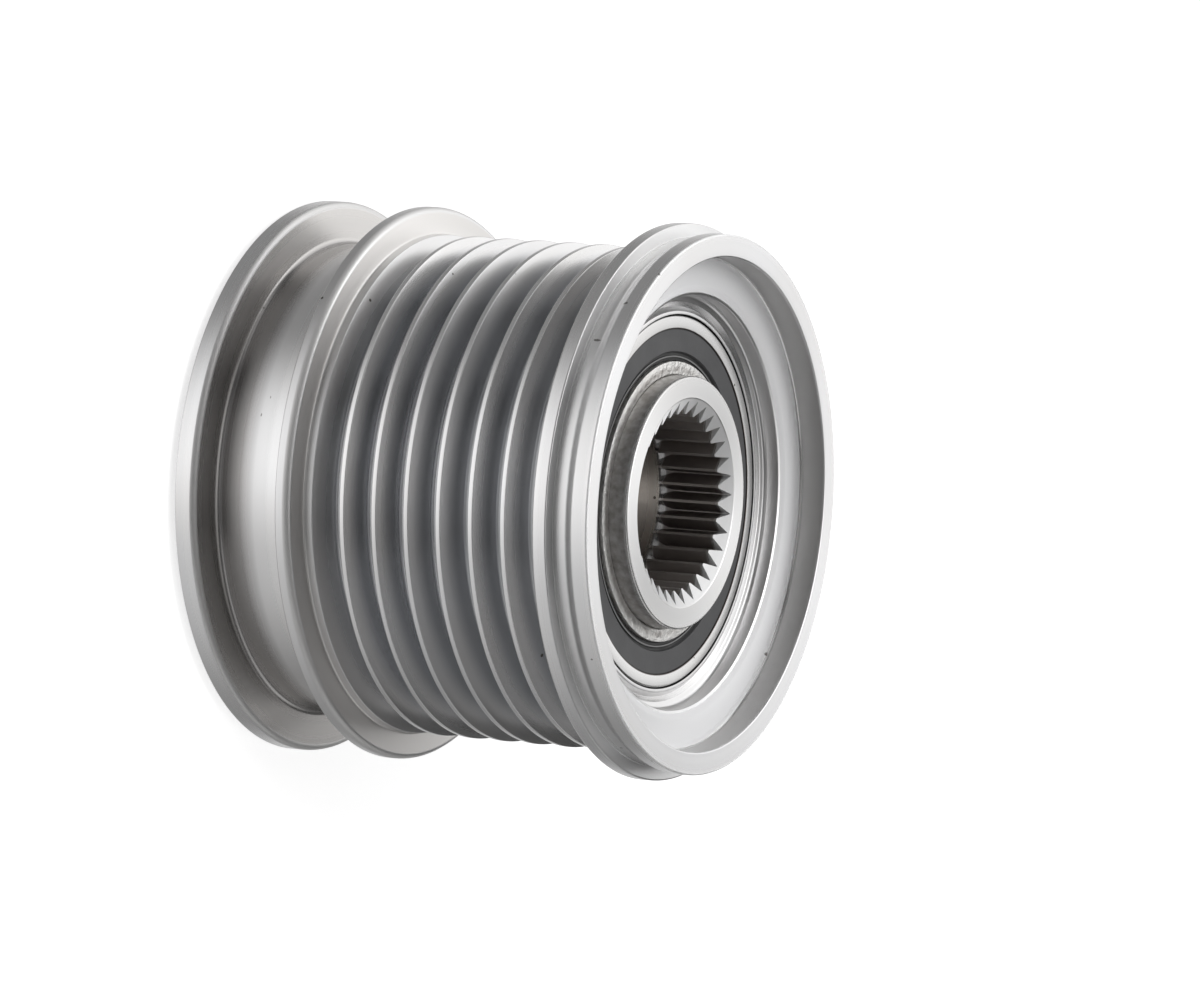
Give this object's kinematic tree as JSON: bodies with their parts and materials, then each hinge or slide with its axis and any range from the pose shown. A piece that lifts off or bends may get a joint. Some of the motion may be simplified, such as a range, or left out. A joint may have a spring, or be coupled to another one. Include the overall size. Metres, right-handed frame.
{
  "type": "overrunning alternator pulley",
  "caption": "Ribbed belt pulley with flanges, carried on sealed ball bearings and a one-way roller clutch around a splined, threaded steel hub.",
  "frame": {"origin": "centre of the hub's rear face, which is the lowest plane of the part", "axes": "+Z along the shaft axis from the rear, where the shaft enters, to the front, where the tool spline opens; X and Y are square to it, and one spline space lies 18.3 degrees from +X towards +Y"},
  "size_m": [0.0553, 0.0552, 0.0461],
  "materials": {
    "turned_steel": "satin, finely turned",
    "hub_steel": "machined, ground nose",
    "race_steel": "ground",
    "polished_steel": "polished",
    "clutch_steel": "hardened, plain",
    "spring_steel": "rolled strip",
    "cage_polymer": "moulded",
    "seal_rubber": "semi-matt"
  },
  "bodies": {
    "hub": {"hub_sleeve": "hub_steel", "front_inner_race": "race_steel", "rear_inner_race": "race_steel"},
    "pulley": {"pulley_shell": "turned_steel", "front_outer_race": "race_steel", "rear_outer_race": "race_steel", "front_bearing_front_seal": "seal_rubber", "front_bearing_rear_seal": "seal_rubber", "rear_bearing_front_seal": "seal_rubber", "rear_bearing_rear_seal": "seal_rubber", "clutch_cup": "clutch_steel", "clutch_cage": "cage_polymer", "clutch_rollers": "polished_steel", "clutch_springs": "spring_steel", "clutch_front_ring": "clutch_steel", "clutch_rear_ring": "clutch_steel"},
    "front_ball_set": {"front_balls": "polished_steel", "front_ball_cage": "cage_polymer"},
    "rear_ball_set": {"rear_balls": "polished_steel", "rear_ball_cage": "cage_polymer"}
  },
  "joints": [
    {"name": "pulley_spin", "type": "hinge", "parent": "hub", "child": "pulley", "pos_m": [0, 0, 0.02], "axis": [0, 0, 1], "continuous": true},
    {"name": "front_ball_spin", "type": "hinge", "parent": "hub", "child": "front_ball_set", "pos_m": [0, 0, 0.03759], "axis": [0, 0, 1], "continuous": true},
    {"name": "rear_ball_spin", "type": "hinge", "parent": "hub", "child": "rear_ball_set", "pos_m": [0, 0, 0.006], "axis": [0, 0, 1], "continuous": true}
  ],
  "couplings": [
    {"joint": "front_ball_spin", "follows": "pulley_spin", "ratio": 0.55645},
    {"joint": "rear_ball_spin", "follows": "pulley_spin", "ratio": 0.55645}
  ]
}
